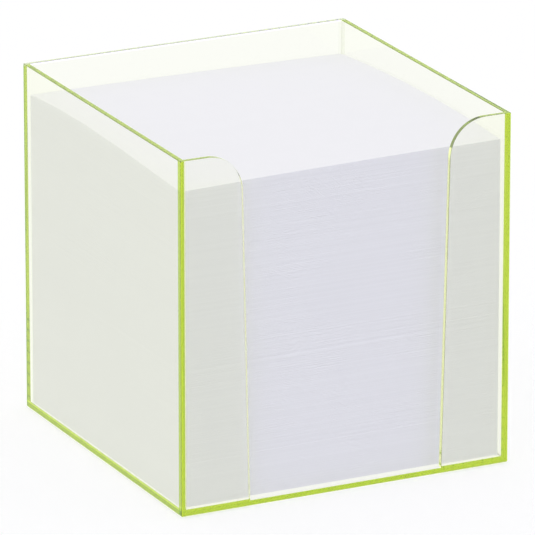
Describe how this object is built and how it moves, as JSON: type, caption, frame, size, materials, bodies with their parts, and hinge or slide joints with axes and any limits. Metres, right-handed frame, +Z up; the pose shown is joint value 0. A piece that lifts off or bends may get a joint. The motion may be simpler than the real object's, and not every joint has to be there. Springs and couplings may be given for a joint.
{
  "type": "memo box",
  "caption": "Clear tinted plastic cube, open at the top, with a wide finger slot in its front wall, holding a stack of loose square note sheets that lift out.",
  "frame": {"origin": "middle of the box's underside, on the surface that it stands on", "axes": "+X to the right as seen from the front, the finger slot looks towards -Y, +Z up"},
  "size_m": [0.094, 0.095, 0.095],
  "materials": {
    "clear_plastic": "polished clear plastic with a faint lime tint that shows strongly at its edges",
    "note_paper": "matt white uncoated paper"
  },
  "bodies": {
    "box": {"moulded_box": "clear_plastic"},
    "note_stack": {"sheet_lot_01": "note_paper", "sheet_lot_02": "note_paper", "sheet_lot_03": "note_paper", "sheet_lot_04": "note_paper", "sheet_lot_05": "note_paper", "sheet_lot_06": "note_paper", "sheet_lot_07": "note_paper", "sheet_lot_08": "note_paper", "sheet_lot_09": "note_paper", "sheet_lot_10": "note_paper", "sheet_lot_11": "note_paper", "sheet_lot_12": "note_paper", "sheet_lot_13": "note_paper", "sheet_lot_14": "note_paper", "sheet_lot_15": "note_paper", "sheet_lot_16": "note_paper", "sheet_lot_17": "note_paper", "sheet_lot_18": "note_paper", "sheet_lot_19": "note_paper", "sheet_lot_20": "note_paper", "sheet_lot_21": "note_paper", "sheet_lot_22": "note_paper", "sheet_lot_23": "note_paper", "sheet_lot_24": "note_paper", "sheet_lot_25": "note_paper", "sheet_lot_26": "note_paper", "sheet_lot_27": "note_paper", "sheet_lot_28": "note_paper", "sheet_lot_29": "note_paper", "sheet_lot_30": "note_paper", "sheet_lot_31": "note_paper", "sheet_lot_32": "note_paper", "sheet_lot_33": "note_paper", "sheet_lot_34": "note_paper", "sheet_lot_35": "note_paper", "sheet_lot_36": "note_paper", "sheet_lot_37": "note_paper", "sheet_lot_38": "note_paper", "sheet_lot_39": "note_paper", "sheet_lot_40": "note_paper", "sheet_lot_41": "note_paper", "sheet_lot_42": "note_paper", "sheet_lot_43": "note_paper", "sheet_lot_44": "note_paper", "sheet_lot_45": "note_paper", "sheet_lot_46": "note_paper"},
    "top_sheet_01": {"top_sheet_01": "note_paper"},
    "top_sheet_02": {"top_sheet_02": "note_paper"},
    "top_sheet_03": {"top_sheet_03": "note_paper"},
    "top_sheet_04": {"top_sheet_04": "note_paper"},
    "top_sheet_05": {"top_sheet_05": "note_paper"},
    "top_sheet_06": {"top_sheet_06": "note_paper"},
    "top_sheet_07": {"top_sheet_07": "note_paper"},
    "top_sheet_08": {"top_sheet_08": "note_paper"},
    "top_sheet_09": {"top_sheet_09": "note_paper"},
    "top_sheet_10": {"top_sheet_10": "note_paper"}
  },
  "joints": [
    {"name": "stack_lift", "type": "slide", "parent": "box", "child": "note_stack", "axis": [0, 0, 1], "range_m": [0, 0.1]},
    {"name": "top_sheet_10_lift", "type": "slide", "parent": "note_stack", "child": "top_sheet_10", "axis": [0, 0, 1], "range_m": [0, 0.03]},
    {"name": "top_sheet_09_lift", "type": "slide", "parent": "top_sheet_10", "child": "top_sheet_09", "axis": [0, 0, 1], "range_m": [0, 0.03]},
    {"name": "top_sheet_08_lift", "type": "slide", "parent": "top_sheet_09", "child": "top_sheet_08", "axis": [0, 0, 1], "range_m": [0, 0.03]},
    {"name": "top_sheet_07_lift", "type": "slide", "parent": "top_sheet_08", "child": "top_sheet_07", "axis": [0, 0, 1], "range_m": [0, 0.03]},
    {"name": "top_sheet_06_lift", "type": "slide", "parent": "top_sheet_07", "child": "top_sheet_06", "axis": [0, 0, 1], "range_m": [0, 0.03]},
    {"name": "top_sheet_05_lift", "type": "slide", "parent": "top_sheet_06", "child": "top_sheet_05", "axis": [0, 0, 1], "range_m": [0, 0.03]},
    {"name": "top_sheet_04_lift", "type": "slide", "parent": "top_sheet_05", "child": "top_sheet_04", "axis": [0, 0, 1], "range_m": [0, 0.03]},
    {"name": "top_sheet_03_lift", "type": "slide", "parent": "top_sheet_04", "child": "top_sheet_03", "axis": [0, 0, 1], "range_m": [0, 0.03]},
    {"name": "top_sheet_02_lift", "type": "slide", "parent": "top_sheet_03", "child": "top_sheet_02", "axis": [0, 0, 1], "range_m": [0, 0.03]},
    {"name": "top_sheet_01_lift", "type": "slide", "parent": "top_sheet_02", "child": "top_sheet_01", "axis": [0, 0, 1], "range_m": [0, 0.03]}
  ]
}
